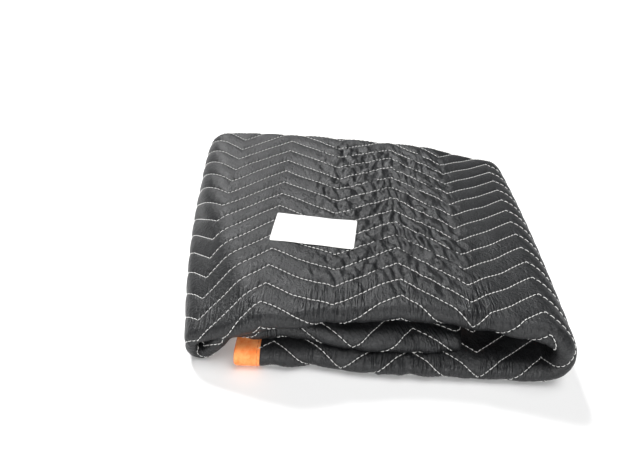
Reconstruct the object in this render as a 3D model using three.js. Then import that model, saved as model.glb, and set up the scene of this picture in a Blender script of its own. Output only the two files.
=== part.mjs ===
// A quilted moving pad, folded for storage and laid flat.
// Millimetres, +Z up, seen from the front along +Y. It stands on z = 0 with its origin under its middle.
// The cloth is one sheet, 1500 wide and 2000 long. It is folded in quarters along its length,
// which makes a strip of four plies, 500 deep, and the strip is then turned over itself in thirds:
// a bottom layer, a wide turn on the right, a top layer, a hollow turn on the left and a middle layer.
import * as THREE from "three";

// Driving sizes of the flat pad
const PAD_WIDTH = 1500;
const PAD_LENGTH = 2000;
const PLY_THICKNESS = 7;
const PLY_GAP = 1.2;
const EDGE_THICKNESS = 4;
const TAPER_LENGTH = 45;

// Driving sizes of the binding and the sewn label
const BINDING_WIDTH = 33;
const BINDING_CLOTH = 1;
const SEAT_GAP = 0.5;
const LABEL = { width: 130, depth: 68, thickness: 0.9, x: -66, y: -60, turn: -4.5, gap: 0.5 };
const LABEL_STEPS = 4;

// The strip of four plies
const PLY_PITCH = PLY_THICKNESS + PLY_GAP;
const OUTER_PLY = 1.5 * PLY_PITCH;
const INNER_PLY = 0.5 * PLY_PITCH;
const STRIP_HALF = OUTER_PLY + PLY_THICKNESS / 2;
const LAYER_GAP = 1.6;
const LAYER_PITCH = 2 * STRIP_HALF + LAYER_GAP;
const LOW = STRIP_HALF;
const MIDDLE = LOW + LAYER_PITCH;
const END_CLEARANCE = 3;
const OVER_END = MIDDLE + END_CLEARANCE;
const HIGH = MIDDLE + LAYER_PITCH;

// The strip's middle line, as corners with rounding radii, at the front, halfway and the back.
// x runs right and z runs up. Where a row has fromEnd, x is measured from the bottom layer's end,
// which the middle layer climbs over.
// pinch is how far the plies are pressed together there, as a share of their full thickness.
const SECTIONS = {
  front: [
    { x: -420, z: LOW, radius: 0, pinch: 1 },
    { x: 286, z: LOW, radius: 27, pinch: 1 },
    { x: 281, z: HIGH, radius: 38, pinch: 1 },
    { x: 190, z: HIGH, radius: 300, pinch: 1 },
    { x: -105, z: HIGH, radius: 80, pinch: 0.95 },
    { x: -223, z: 43, radius: 22, pinch: 0.62 },
    { x: -223, z: 9.9, radius: 10, pinch: 0.6 },
    { fromEnd: -45, z: 9.9, radius: 10, pinch: 0.6 },
    { fromEnd: -15, z: OVER_END, radius: 18, pinch: 0.68 },
    { fromEnd: 45, z: MIDDLE, radius: 0, pinch: 1 },
    { x: 460, z: MIDDLE, radius: 0, pinch: 1 },
  ],
  halfway: [
    { x: -420, z: LOW, radius: 0, pinch: 1 },
    { x: 284, z: LOW, radius: 28, pinch: 1 },
    { x: 280, z: 77, radius: 32, pinch: 1 },
    { x: 158, z: HIGH, radius: 300, pinch: 1 },
    { x: -232, z: HIGH, radius: 50, pinch: 0.95 },
    { x: -270, z: 43, radius: 20, pinch: 0.7 },
    { x: -270, z: 10.6, radius: 12, pinch: 0.67 },
    { fromEnd: -48, z: 10.6, radius: 13, pinch: 0.67 },
    { fromEnd: -15, z: OVER_END, radius: 18, pinch: 0.68 },
    { fromEnd: 45, z: MIDDLE, radius: 0, pinch: 1 },
    { x: 460, z: MIDDLE, radius: 0, pinch: 1 },
  ],
  back: [
    { x: -420, z: LOW, radius: 0, pinch: 1 },
    { x: 274, z: LOW, radius: 17.5, pinch: 1 },
    { x: 274, z: 51.5, radius: 17.5, pinch: 1 },
    { x: 125, z: HIGH, radius: 300, pinch: 1 },
    { x: -289, z: HIGH, radius: 34, pinch: 0.85 },
    { x: -289, z: 43, radius: 20, pinch: 0.75 },
    { x: -289, z: 11.2, radius: 13, pinch: 0.7 },
    { fromEnd: -46, z: 11.2, radius: 14, pinch: 0.7 },
    { fromEnd: -15, z: OVER_END, radius: 18, pinch: 0.68 },
    { fromEnd: 45, z: MIDDLE, radius: 0, pinch: 1 },
    { x: 460, z: MIDDLE, radius: 0, pinch: 1 },
  ],
};
const TOP_LAYER_CORNER = 3;
const ANCHOR = { s: 768, x: 0 };
const DEPTH_RANGE = { front: -254, back: 246 };

// Where the strip's front fold and back edge lie, by the distance s along the pad's width.
const EDGES = [
  { s: 0, front: -258, back: 240 },
  { s: 62, front: -256, back: 243 },
  { s: 105, front: -252, back: 244 },
  { s: 181, front: -258, back: 243 },
  { s: 321, front: -256, back: 240 },
  { s: 430, front: -255, back: 226 },
  { s: 480, front: -249, back: 218 },
  { s: 551, front: -236, back: 212 },
  { s: 596, front: -226, back: 216 },
  { s: 641, front: -219, back: 221 },
  { s: 709, front: -218, back: 228 },
  { s: 800, front: -229, back: 238 },
  { s: 862, front: -245, back: 244 },
  { s: 961, front: -252, back: 246 },
  { s: 1021, front: -254, back: 244 },
  { s: 1076, front: -254, back: 238 },
  { s: 1116, front: -242, back: 234 },
  { s: 1191, front: -230, back: 236 },
  { s: 1281, front: -240, back: 238 },
  { s: 1371, front: -237, back: 238 },
  { s: 1422, front: -229, back: 241 },
  { s: 1467, front: -184, back: 244 },
  { s: 1500, front: -168, back: 246 },
];

// The four plies in the order of the pad's length: where each lies in the strip, and which way it runs.
// towards is 1 where the ply runs to the back, and turnSteps divides the rounded fold at its end.
const PLIES = [
  { w: -OUTER_PLY, towards: -1, turnSteps: 7 },
  { w: OUTER_PLY, towards: 1, turnSteps: 4 },
  { w: INNER_PLY, towards: -1, turnSteps: 6 },
  { w: -INNER_PLY, towards: 1, turnSteps: 0 },
];
const TURN_LENGTH = Math.PI * (OUTER_PLY + PLY_PITCH);
const PLY_LENGTH = (PAD_LENGTH - TURN_LENGTH) / PLIES.length;
const TAPER_START = BINDING_WIDTH + TAPER_LENGTH;
const PLY_STATIONS = [0, 0.28, 0.56, 1 - TAPER_START / PLY_LENGTH, 1 - BINDING_WIDTH / PLY_LENGTH, 1];

// How finely the sheet is divided along its width: steps of about this length up to each place.
const WIDTH_STEPS = [
  { to: BINDING_WIDTH, step: 33 },
  { to: TAPER_START, step: 45 },
  { to: 385, step: 80 },
  { to: 540, step: 22 },
  { to: 860, step: 46 },
  { to: 1280, step: 19 },
  { to: PAD_WIDTH - TAPER_START, step: 90 },
  { to: PAD_WIDTH - BINDING_WIDTH, step: 45 },
  { to: PAD_WIDTH, step: 33 },
];

const FINISH = {
  cloth: { color: 0x2a2c2e, roughness: 0.62, metalness: 0 },
  binding: { color: 0xe8642c, roughness: 0.85, metalness: 0 },
  label: { color: 0xf3f3f1, roughness: 0.7, metalness: 0 },
};

function mix(a, b, share) {
  return a + (b - a) * share;
}

function clamp01(value) {
  return Math.min(1, Math.max(0, value));
}

// Three known values, at 0, one half and 1, joined by one smooth curve.
function through(front, halfway, back, share) {
  const bend = 2 * (front - 2 * halfway + back);
  const slope = back - front - bend;
  return front + slope * share + bend * share * share;
}

// A named column of a table, read at a place along it, eased from row to row.
function column(rows, name, at) {
  const next = rows.findIndex((row) => row.s >= at);
  if (next === 0) return rows[0][name];
  if (next < 0) return rows.at(-1)[name];
  const before = rows[next - 1];
  const after = rows[next];
  const share = clamp01((at - before.s) / (after.s - before.s));
  return mix(before[name], after[name], share * share * (3 - 2 * share));
}

// The corners of the strip's middle line at a depth, 0 at the front and 1 at the back.
function cornersAt(depth) {
  return SECTIONS.front.map((front, i) => {
    const halfway = SECTIONS.halfway[i];
    const back = SECTIONS.back[i];
    const read = (name) => through(front[name], halfway[name], back[name], depth);
    const corner = { z: read("z"), radius: read("radius"), pinch: read("pinch") };
    return "x" in front ? { ...corner, x: read("x") } : { ...corner, fromEnd: read("fromEnd") };
  });
}

// Lines and arcs that follow the corners, with the length at which each piece starts.
function roundedLine(corners) {
  const pieces = [];
  const pinches = [{ s: 0, pinch: corners[0].pinch }];
  let total = 0;
  let from = new THREE.Vector2(corners[0].x, corners[0].z);
  const addPiece = (direction, length, bend, to) => {
    pieces.push({ start: total, length, from, direction, bend });
    total += length;
    from = to;
  };
  for (let i = 1; i < corners.length - 1; i += 1) {
    const here = new THREE.Vector2(corners[i].x, corners[i].z);
    const arriving = new THREE.Vector2(here.x - corners[i - 1].x, here.y - corners[i - 1].z).normalize();
    const leaving = new THREE.Vector2(corners[i + 1].x - here.x, corners[i + 1].z - here.y).normalize();
    const angle = Math.atan2(arriving.cross(leaving), arriving.dot(leaving));
    const setback = corners[i].radius * Math.tan(Math.abs(angle) / 2);
    const arcStart = here.clone().addScaledVector(arriving, -setback);
    addPiece(arriving, from.distanceTo(arcStart), 0, arcStart);
    const arcLength = corners[i].radius * Math.abs(angle);
    pinches.push({ s: total + arcLength / 2, pinch: corners[i].pinch });
    if (arcLength < 1e-6) continue;
    const arcEnd = here.clone().addScaledVector(leaving, setback);
    addPiece(arriving, arcLength, Math.sign(angle) / corners[i].radius, arcEnd);
  }
  const last = corners.at(-1);
  const end = new THREE.Vector2(last.x, last.z);
  addPiece(end.clone().sub(from).normalize(), from.distanceTo(end), 0, end);
  pinches.push({ s: total, pinch: last.pinch });
  return { pieces, pinches, total };
}

// The point and the direction of a rounded line at a length along it.
function pointOnLine(line, at) {
  const place = Math.min(Math.max(at, 0), line.total);
  const piece = line.pieces.find((p) => place <= p.start + p.length) ?? line.pieces.at(-1);
  const along = place - piece.start;
  const ahead = piece.direction;
  const aside = new THREE.Vector2(-ahead.y, ahead.x);
  const angle = along * piece.bend;
  const direction = ahead.clone().multiplyScalar(Math.cos(angle));
  direction.addScaledVector(aside, Math.sin(angle));
  const forward = piece.bend === 0 ? along : Math.sin(angle) / piece.bend;
  const sideways = piece.bend === 0 ? 0 : (1 - Math.cos(angle)) / piece.bend;
  const point = piece.from.clone().addScaledVector(ahead, forward).addScaledVector(aside, sideways);
  return { point, direction };
}

// How far along its line the strip starts, at its bottom end: every line passes the same place
// of the top layer at the same s.
function startOfStrip(corners) {
  const bend = roundedLine(corners.slice(0, TOP_LAYER_CORNER + 2)).pinches[TOP_LAYER_CORNER];
  return bend.s + corners[TOP_LAYER_CORNER].x - ANCHOR.x - ANCHOR.s;
}

// The strip's middle line at a depth, worked out once for each.
const lines = new Map();
function lineAt(depth) {
  const key = depth.toFixed(4);
  if (!lines.has(key)) {
    const corners = cornersAt(depth);
    const start = startOfStrip(corners);
    const end = corners[0].x + start;
    const placed = corners.map((corner) => ({ ...corner, x: corner.x ?? end + corner.fromEnd }));
    lines.set(key, { ...roundedLine(placed), start });
  }
  return lines.get(key);
}

// A point of the folded pad. s is the distance along its width, place says where in the strip
// it lies along its length, and n is the distance from the sheet's middle towards its face.
function folded(s, place, n) {
  const front = column(EDGES, "front", s) + STRIP_HALF;
  const back = column(EDGES, "back", s) - PLY_PITCH / 2 - PLY_THICKNESS / 2;
  const flatY = mix(front, back, place.share);
  const past = flatY + place.out - DEPTH_RANGE.front;
  const depth = clamp01(past / (DEPTH_RANGE.back - DEPTH_RANGE.front));
  const line = lineAt(depth);
  const pinch = column(line.pinches, "pinch", s + line.start);
  const { point, direction } = pointOnLine(line, s + line.start);
  const w = (place.w + n * place.dy) * pinch;
  const y = flatY + (place.out - n * place.dw) * pinch;
  return new THREE.Vector3(point.x + direction.y * w, y, point.y - direction.x * w);
}

// Where a distance t along the pad's length lies in the strip: share is 0 at the front turns' middle
// and 1 at the back turn's, out is how far it stands past that, w is its place through the strip,
// and dy and dw are the direction in which the sheet runs there.
function lengthPlace(t) {
  let start = 0;
  for (let i = 0; i < PLIES.length; i += 1) {
    const { w, towards } = PLIES[i];
    const along = (t - start) / PLY_LENGTH;
    const last = i === PLIES.length - 1;
    if (along <= 1 || last) {
      return { share: towards > 0 ? along : 1 - along, out: 0, w, dy: towards, dw: 0 };
    }
    const next = PLIES[i + 1].w;
    const radius = Math.abs(next - w) / 2;
    const angle = (t - start - PLY_LENGTH) / radius;
    if (angle < Math.PI) {
      const rise = Math.sign(next - w);
      return {
        share: towards > 0 ? 1 : 0,
        out: towards * radius * Math.sin(angle),
        w: (w + next) / 2 - rise * radius * Math.cos(angle),
        dy: towards * Math.cos(angle),
        dw: rise * Math.sin(angle),
      };
    }
    start += PLY_LENGTH + Math.PI * radius;
  }
  throw new Error("the pad has no ply at " + t);
}

// The distances t at which the sheet is divided along its length.
function lengthStations() {
  const stations = [];
  let start = 0;
  PLIES.forEach((ply, i) => {
    const shares = ply.towards > 0 ? PLY_STATIONS : PLY_STATIONS.map((share) => 1 - share);
    stations.push(...shares.map((share) => start + share * PLY_LENGTH));
    start += PLY_LENGTH;
    if (ply.turnSteps === 0) return;
    const turn = (Math.PI * Math.abs(PLIES[i + 1].w - ply.w)) / 2;
    for (let k = 1; k < ply.turnSteps; k += 1) stations.push(start + (turn * k) / ply.turnSteps);
    start += turn;
  });
  return stations.sort((a, b) => a - b);
}

// The distances s at which the sheet is divided along its width.
function widthStations() {
  const places = [0];
  for (const { to, step } of WIDTH_STEPS) {
    const from = places.at(-1);
    const count = Math.max(1, Math.round((to - from) / step));
    for (let k = 1; k <= count; k += 1) places.push(mix(from, to, k / count));
  }
  return places;
}

// The sheet is thinner under its binding, so that the bound edge is no thicker than the rest.
function halfThickness(s, t) {
  const edge = Math.min(s, PAD_WIDTH - s, t, PAD_LENGTH - t);
  return mix(EDGE_THICKNESS, PLY_THICKNESS, clamp01((edge - BINDING_WIDTH) / TAPER_LENGTH)) / 2;
}

// A closed tube through rings of points, each ring in the same order, with its two ends filled in.
// Each four-sided face is cut along its shorter diagonal.
function tubeThrough(rings) {
  const size = rings[0].length;
  const points = rings.flat();
  const positions = points.flatMap((p) => [p.x, p.y, p.z]);
  const index = [];
  for (let i = 0; i + 1 < rings.length; i += 1) {
    for (let k = 0; k < size; k += 1) {
      const a = i * size + k;
      const b = i * size + ((k + 1) % size);
      const c = b + size;
      const d = a + size;
      const shorter = points[a].distanceTo(points[c]) < points[b].distanceTo(points[d]);
      if (shorter) index.push(a, b, c, a, c, d);
      else index.push(a, b, d, b, c, d);
    }
  }
  const last = (rings.length - 1) * size;
  for (let k = 0; k + 1 < size / 2; k += 1) {
    const b = k + 1;
    const c = size - 2 - k;
    const d = size - 1 - k;
    index.push(k, d, c, k, c, b);
    index.push(last + k, last + b, last + c, last + k, last + c, last + d);
  }
  const geometry = new THREE.BufferGeometry();
  geometry.setAttribute("position", new THREE.Float32BufferAttribute(positions, 3));
  geometry.setIndex(index);
  return facingOut(geometry);
}

// The same geometry, turned over if its faces point inwards.
function facingOut(geometry) {
  const index = geometry.index.array;
  const position = geometry.attributes.position;
  const corner = (i) => new THREE.Vector3().fromBufferAttribute(position, index[i]);
  let volume = 0;
  for (let i = 0; i < index.length; i += 3) volume += corner(i).dot(corner(i + 1).cross(corner(i + 2)));
  if (volume < 0) {
    for (let i = 0; i < index.length; i += 3) [index[i], index[i + 1]] = [index[i + 1], index[i]];
  }
  geometry.computeVertexNormals();
  return geometry;
}

// The folded sheet: a ring round its section for each station along its width.
function sheetGeometry() {
  const lengths = lengthStations();
  const rings = widthStations().map((s) => {
    const side = (sign) => lengths.map((t) => folded(s, lengthPlace(t), sign * halfThickness(s, t)));
    return [...side(1), ...side(-1).reverse()];
  });
  return tubeThrough(rings);
}

// The section of the binding: how far in from the pad's edge, and how far from the sheet's middle.
function bindingSection() {
  const inside = EDGE_THICKNESS / 2 + SEAT_GAP;
  const outside = inside + BINDING_CLOTH;
  const fold = -SEAT_GAP;
  const outerFold = fold - BINDING_CLOTH;
  const outer = [
    { inwards: BINDING_WIDTH, n: outside },
    { inwards: outerFold, n: outside },
    { inwards: outerFold, n: -outside },
    { inwards: BINDING_WIDTH, n: -outside },
  ];
  const inner = [
    { inwards: BINDING_WIDTH, n: -inside },
    { inwards: fold, n: -inside },
    { inwards: fold, n: inside },
    { inwards: BINDING_WIDTH, n: inside },
  ];
  return [...outer, ...inner];
}

// A binding along one long edge of the pad, which lies inside the strip at the back.
function sideBinding(tAt) {
  const over = SEAT_GAP + BINDING_CLOTH;
  const places = widthStations();
  places[0] = -over;
  places[places.length - 1] = PAD_WIDTH + over;
  const rings = places.map((s) =>
    bindingSection().map(({ inwards, n }) => folded(s, lengthPlace(tAt(inwards)), n)),
  );
  return tubeThrough(rings);
}

// A binding along one end of the strip, between the two side bindings.
function endBinding(sAt) {
  const start = BINDING_WIDTH + SEAT_GAP;
  const inner = lengthStations().filter((t) => t > start + 1 && t < PAD_LENGTH - start - 1);
  const rings = [start, ...inner, PAD_LENGTH - start].map((t) =>
    bindingSection().map(({ inwards, n }) => folded(sAt(inwards), lengthPlace(t), n)),
  );
  return tubeThrough(rings);
}

// The label lies flat on the top layer, a little turned, at LABEL.x and LABEL.y.
function labelGeometry() {
  const turn = THREE.MathUtils.degToRad(LABEL.turn);
  const steps = Array.from({ length: LABEL_STEPS + 1 }, (_, k) => k / LABEL_STEPS);
  const at = (across, along, lift) => {
    const u = (across - 0.5) * LABEL.width;
    const v = (along - 0.5) * LABEL.depth;
    const x = LABEL.x + u * Math.cos(turn) - v * Math.sin(turn);
    const y = LABEL.y + u * Math.sin(turn) + v * Math.cos(turn);
    const s = ANCHOR.s + ANCHOR.x - x;
    const front = column(EDGES, "front", s) + STRIP_HALF;
    const back = column(EDGES, "back", s) - PLY_PITCH / 2 - PLY_THICKNESS / 2;
    const place = { share: (y - front) / (back - front), out: 0, w: OUTER_PLY, dy: 1, dw: 0 };
    return folded(s, place, PLY_THICKNESS / 2 + LABEL.gap + lift);
  };
  const rings = steps.map((across) => {
    const side = (lift) => steps.map((along) => at(across, along, lift));
    return [...side(LABEL.thickness), ...side(0).reverse()];
  });
  return tubeThrough(rings);
}

function addPiece(group, name, geometry, finish) {
  const mesh = new THREE.Mesh(geometry, new THREE.MeshStandardMaterial(finish));
  mesh.name = name;
  group.add(mesh);
}

const pad = new THREE.Group();
addPiece(pad, "pad", sheetGeometry(), FINISH.cloth);
addPiece(pad, "binding_outer_end", endBinding((inwards) => inwards), FINISH.binding);
addPiece(pad, "binding_inner_end", endBinding((inwards) => PAD_WIDTH - inwards), FINISH.binding);
addPiece(pad, "binding_side_lower", sideBinding((inwards) => inwards), FINISH.binding);
addPiece(pad, "binding_side_upper", sideBinding((inwards) => PAD_LENGTH - inwards), FINISH.binding);
addPiece(pad, "label", labelGeometry(), FINISH.label);

// The origin is under the middle of the folded pad.
const middle = new THREE.Box3().setFromObject(pad).getCenter(new THREE.Vector3());
pad.position.set(-middle.x, -middle.y, 0);

export default pad;
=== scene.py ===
# A quilted moving pad, folded for storage and laid flat, seen a little from above.
# Blender's frame is in metres. The pad is worked out in millimetres along its own cloth:
# s runs along its 1500 mm width, t along its 2000 mm length, and n out of its face.
import math
from collections import namedtuple

import bmesh
import bpy
import numpy as np
from mathutils import Matrix, Vector


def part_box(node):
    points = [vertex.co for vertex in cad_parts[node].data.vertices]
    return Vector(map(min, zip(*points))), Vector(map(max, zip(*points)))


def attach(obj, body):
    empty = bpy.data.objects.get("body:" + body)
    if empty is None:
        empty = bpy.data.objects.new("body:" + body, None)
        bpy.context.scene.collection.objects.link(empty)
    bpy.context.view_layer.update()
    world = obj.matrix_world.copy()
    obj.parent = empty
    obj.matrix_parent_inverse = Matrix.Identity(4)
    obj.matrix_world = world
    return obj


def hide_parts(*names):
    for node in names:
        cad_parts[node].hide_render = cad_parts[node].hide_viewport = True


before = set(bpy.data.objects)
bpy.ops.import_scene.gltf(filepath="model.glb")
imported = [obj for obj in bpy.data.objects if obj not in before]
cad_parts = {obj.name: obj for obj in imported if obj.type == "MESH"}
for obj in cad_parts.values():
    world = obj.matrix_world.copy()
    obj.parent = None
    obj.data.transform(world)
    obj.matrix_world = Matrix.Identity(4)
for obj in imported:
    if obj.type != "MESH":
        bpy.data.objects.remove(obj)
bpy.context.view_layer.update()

MM = 0.001

# Sizes of the flat pad, in millimetres
PAD_WIDTH = 1500
PAD_LENGTH = 2000
PLY_THICKNESS = 7
PLY_GAP = 1.2
EDGE_THICKNESS = 4
TAPER_LENGTH = 45
BINDING_WIDTH = 33

# The strip of four plies, and the heights of its three layers
PLY_PITCH = PLY_THICKNESS + PLY_GAP
OUTER_PLY = 1.5 * PLY_PITCH
INNER_PLY = 0.5 * PLY_PITCH
STRIP_HALF = OUTER_PLY + PLY_THICKNESS / 2
LAYER_GAP = 1.6
LAYER_PITCH = 2 * STRIP_HALF + LAYER_GAP
LOW = STRIP_HALF
MIDDLE = LOW + LAYER_PITCH
OVER_END = MIDDLE + 3
HIGH = MIDDLE + LAYER_PITCH

# The strip's middle line, as corners with rounding radii, at the front, halfway and the back.
# Where from_end is set, x is measured from the bottom layer's end.
Corner = namedtuple("Corner", "x z radius pinch from_end", defaults=(1, False))
SECTIONS = {
    "front": [
        Corner(-420, LOW, 0),
        Corner(286, LOW, 27),
        Corner(281, HIGH, 38),
        Corner(190, HIGH, 300),
        Corner(-105, HIGH, 80, pinch=0.95),
        Corner(-223, 43, 22, pinch=0.62),
        Corner(-223, 9.9, 10, pinch=0.6),
        Corner(-45, 9.9, 10, pinch=0.6, from_end=True),
        Corner(-15, OVER_END, 18, pinch=0.68, from_end=True),
        Corner(45, MIDDLE, 0, from_end=True),
        Corner(460, MIDDLE, 0),
    ],
    "halfway": [
        Corner(-420, LOW, 0),
        Corner(284, LOW, 28),
        Corner(280, 77, 32),
        Corner(158, HIGH, 300),
        Corner(-232, HIGH, 50, pinch=0.95),
        Corner(-270, 43, 20, pinch=0.7),
        Corner(-270, 10.6, 12, pinch=0.67),
        Corner(-48, 10.6, 13, pinch=0.67, from_end=True),
        Corner(-15, OVER_END, 18, pinch=0.68, from_end=True),
        Corner(45, MIDDLE, 0, from_end=True),
        Corner(460, MIDDLE, 0),
    ],
    "back": [
        Corner(-420, LOW, 0),
        Corner(274, LOW, 17.5),
        Corner(274, 51.5, 17.5),
        Corner(125, HIGH, 300),
        Corner(-289, HIGH, 34, pinch=0.85),
        Corner(-289, 43, 20, pinch=0.75),
        Corner(-289, 11.2, 13, pinch=0.7),
        Corner(-46, 11.2, 14, pinch=0.7, from_end=True),
        Corner(-15, OVER_END, 18, pinch=0.68, from_end=True),
        Corner(45, MIDDLE, 0, from_end=True),
        Corner(460, MIDDLE, 0),
    ],
}
TOP_LAYER_CORNER = 3
ANCHOR_S = 768
DEPTH_FRONT = -254
DEPTH_BACK = 246

# Where the strip's front fold and back edge lie, by the distance s along the pad's width
Edge = namedtuple("Edge", "s front back")
EDGES = [
    Edge(0, -258, 240),
    Edge(62, -256, 243),
    Edge(105, -252, 244),
    Edge(181, -258, 243),
    Edge(321, -256, 240),
    Edge(430, -255, 226),
    Edge(480, -249, 218),
    Edge(551, -236, 212),
    Edge(596, -226, 216),
    Edge(641, -219, 221),
    Edge(709, -218, 228),
    Edge(800, -229, 238),
    Edge(862, -245, 244),
    Edge(961, -252, 246),
    Edge(1021, -254, 244),
    Edge(1076, -254, 238),
    Edge(1116, -242, 234),
    Edge(1191, -230, 236),
    Edge(1281, -240, 238),
    Edge(1371, -237, 238),
    Edge(1422, -229, 241),
    Edge(1467, -172, 244),
    Edge(1500, -140, 246),
]

# The four plies in the order of the pad's length: where each lies in the strip, and which way it runs
Ply = namedtuple("Ply", "w towards")
PLIES = [Ply(-OUTER_PLY, -1), Ply(OUTER_PLY, 1), Ply(INNER_PLY, -1), Ply(-INNER_PLY, 1)]
TURN_LENGTH = math.pi * (OUTER_PLY + PLY_PITCH)
PLY_LENGTH = (PAD_LENGTH - TURN_LENGTH) / len(PLIES)
TOP_PLY_START = PLY_LENGTH + math.pi * OUTER_PLY

# The label, on the top layer, in millimetres from the place where s is ANCHOR_S
LABEL_WIDTH = 130
LABEL_DEPTH = 68
LABEL_X = -66
LABEL_Y = -60
LABEL_TURN = math.radians(-4.5)

# Quilting: zigzag rows of stitches, the same line repeated along the pad's length
Bend = namedtuple("Bend", "s t")
ROW_PITCH = 36.8
ROW_START = 764
ZIGZAG = [
    Bend(-44, 36),
    Bend(50, -36),
    Bend(146, 36),
    Bend(240, -36),
    Bend(334, 36),
    Bend(425, -36),
    Bend(517, 42),
    Bend(612, -41),
    Bend(706, 33),
    Bend(800, -20),
    Bend(895, 36),
    Bend(988, -41),
    Bend(1083, 36),
    Bend(1178, -36),
    Bend(1272, 36),
    Bend(1367, -36),
    Bend(1461, 36),
    Bend(1556, -36),
]
SEAM_DEPTH = 2.4
PUFF_ROUNDNESS = 3.2
STITCH_PITCH = 7.4
THREAD_RADIUS = 0.5


# Folding

def column(rows, name):
    return np.array([getattr(row, name) for row in rows], float)


def eased(places, values, at):
    """Values known at places, read at others, eased from one to the next."""
    after = np.clip(np.searchsorted(places, at), 1, len(places) - 1)
    share = np.clip((at - places[after - 1]) / (places[after] - places[after - 1]), 0, 1)
    share = share * share * (3 - 2 * share)
    return values[after - 1] + (values[after] - values[after - 1]) * share


def through(front, halfway, back, share):
    """Three known values, at 0, one half and 1, joined by one smooth curve."""
    bend = 2 * (front - 2 * halfway + back)
    return front + (back - front - bend) * share + bend * share * share


def corners_at(depth):
    """The corners of the strip's middle line at a depth, 0 at the front and 1 at the back."""
    blended = {
        name: through(*(column(SECTIONS[key], name) for key in ("front", "halfway", "back")), depth)
        for name in ("x", "z", "radius", "pinch")
    }
    corners = [Corner(*values) for values in zip(*blended.values())]
    return [c._replace(from_end=f.from_end) for c, f in zip(corners, SECTIONS["front"])]


Piece = namedtuple("Piece", "start x z heading bend")


def rounded_line(corners):
    """Lines and arcs that follow the corners, and the pinch at the middle of each arc."""
    points = [Vector((c.x, c.z)) for c in corners]
    ahead = [(b - a).normalized() for a, b in zip(points, points[1:])]
    pieces = []
    pinches = [(0, corners[0].pinch)]
    total = 0
    heading = math.atan2(ahead[0].y, ahead[0].x)
    here = points[0]
    for i in range(1, len(corners) - 1):
        cross = ahead[i - 1].x * ahead[i].y - ahead[i - 1].y * ahead[i].x
        angle = math.atan2(cross, ahead[i - 1].dot(ahead[i]))
        radius = corners[i].radius
        setback = radius * math.tan(abs(angle) / 2)
        arc_start = points[i] - ahead[i - 1] * setback
        pieces.append(Piece(total, here.x, here.y, heading, 0))
        total += (arc_start - here).length
        arc_length = radius * abs(angle)
        pinches.append((total + arc_length / 2, corners[i].pinch))
        here = arc_start
        if arc_length < 1e-6:
            continue
        pieces.append(Piece(total, here.x, here.y, heading, math.copysign(1 / radius, angle)))
        total += arc_length
        heading += angle
        here = points[i] + ahead[i] * setback
    pieces.append(Piece(total, here.x, here.y, heading, 0))
    total += (points[-1] - here).length
    pinches.append((total, corners[-1].pinch))
    return pieces, np.array(pinches)


def read_line(pieces, at):
    """x, z and heading at lengths along a rounded line."""
    rows = np.array(pieces)
    start, x, z, heading, bend = rows[np.searchsorted(rows[:, 0], at, side="right") - 1].T
    along = at - start
    curved = np.abs(bend) > 0
    safe = np.where(curved, bend, 1)
    angle = along * bend
    forward = np.where(curved, np.sin(angle) / safe, along)
    aside = np.where(curved, (1 - np.cos(angle)) / safe, 0)
    x = x + forward * np.cos(heading) - aside * np.sin(heading)
    z = z + forward * np.sin(heading) + aside * np.cos(heading)
    return x, z, heading + angle


TABLE_DEPTHS = 81
TABLE_S = np.arange(-8, PAD_WIDTH + 9, 1.0)


def strip_table():
    """x, z, heading and pinch of the strip's middle line, for each depth and each millimetre of s."""
    table = []
    for depth in np.linspace(0, 1, TABLE_DEPTHS):
        corners = corners_at(depth)
        pinches = rounded_line(corners[: TOP_LAYER_CORNER + 2])[1]
        start = pinches[TOP_LAYER_CORNER][0] + corners[TOP_LAYER_CORNER].x - ANCHOR_S
        end = corners[0].x + start
        placed = [c._replace(x=c.x + end) if c.from_end else c for c in corners]
        pieces, pinches = rounded_line(placed)
        x, z, heading = read_line(pieces, TABLE_S + start)
        pinch = eased(pinches[:, 0], pinches[:, 1], TABLE_S + start)
        table.append(np.stack([x, z, heading, pinch], axis=-1))
    return np.array(table)


STRIP = strip_table()


def strip_at(s, depth):
    """The strip's middle line at any s and depth, read between the table's rows."""
    row = np.clip(depth, 0, 1) * (TABLE_DEPTHS - 1)
    col = np.clip(s - TABLE_S[0], 0, len(TABLE_S) - 1)
    i = np.minimum(row.astype(int), TABLE_DEPTHS - 2)
    j = np.minimum(col.astype(int), len(TABLE_S) - 2)
    a = (row - i)[..., None]
    b = (col - j)[..., None]
    near = STRIP[i, j] * (1 - b) + STRIP[i, j + 1] * b
    far = STRIP[i + 1, j] * (1 - b) + STRIP[i + 1, j + 1] * b
    return np.moveaxis(near * (1 - a) + far * a, -1, 0)


def length_place(t):
    """Where the distance t lies in the strip: its share from front to back, how far it stands past that,
    its place w through the strip, and the direction in which the sheet runs there."""
    share = np.zeros_like(t)
    out = np.zeros_like(t)
    w = np.zeros_like(t)
    dy = np.zeros_like(t)
    dw = np.zeros_like(t)
    start = 0
    for i, ply in enumerate(PLIES):
        on = t >= start if i else np.ones(t.shape, bool)
        along = (t - start) / PLY_LENGTH
        share[on] = (along if ply.towards > 0 else 1 - along)[on]
        out[on] = 0
        w[on] = ply.w
        dy[on] = ply.towards
        dw[on] = 0
        if i == len(PLIES) - 1:
            break
        rise = math.copysign(1, PLIES[i + 1].w - ply.w)
        radius = abs(PLIES[i + 1].w - ply.w) / 2
        on = t > start + PLY_LENGTH
        angle = (t - start - PLY_LENGTH) / radius
        share[on] = 1 if ply.towards > 0 else 0
        out[on] = (ply.towards * radius * np.sin(angle))[on]
        w[on] = ((PLIES[i + 1].w + ply.w) / 2 - rise * radius * np.cos(angle))[on]
        dy[on] = (ply.towards * np.cos(angle))[on]
        dw[on] = (rise * np.sin(angle))[on]
        start += PLY_LENGTH + math.pi * radius
    return share, out, w, dy, dw


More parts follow.
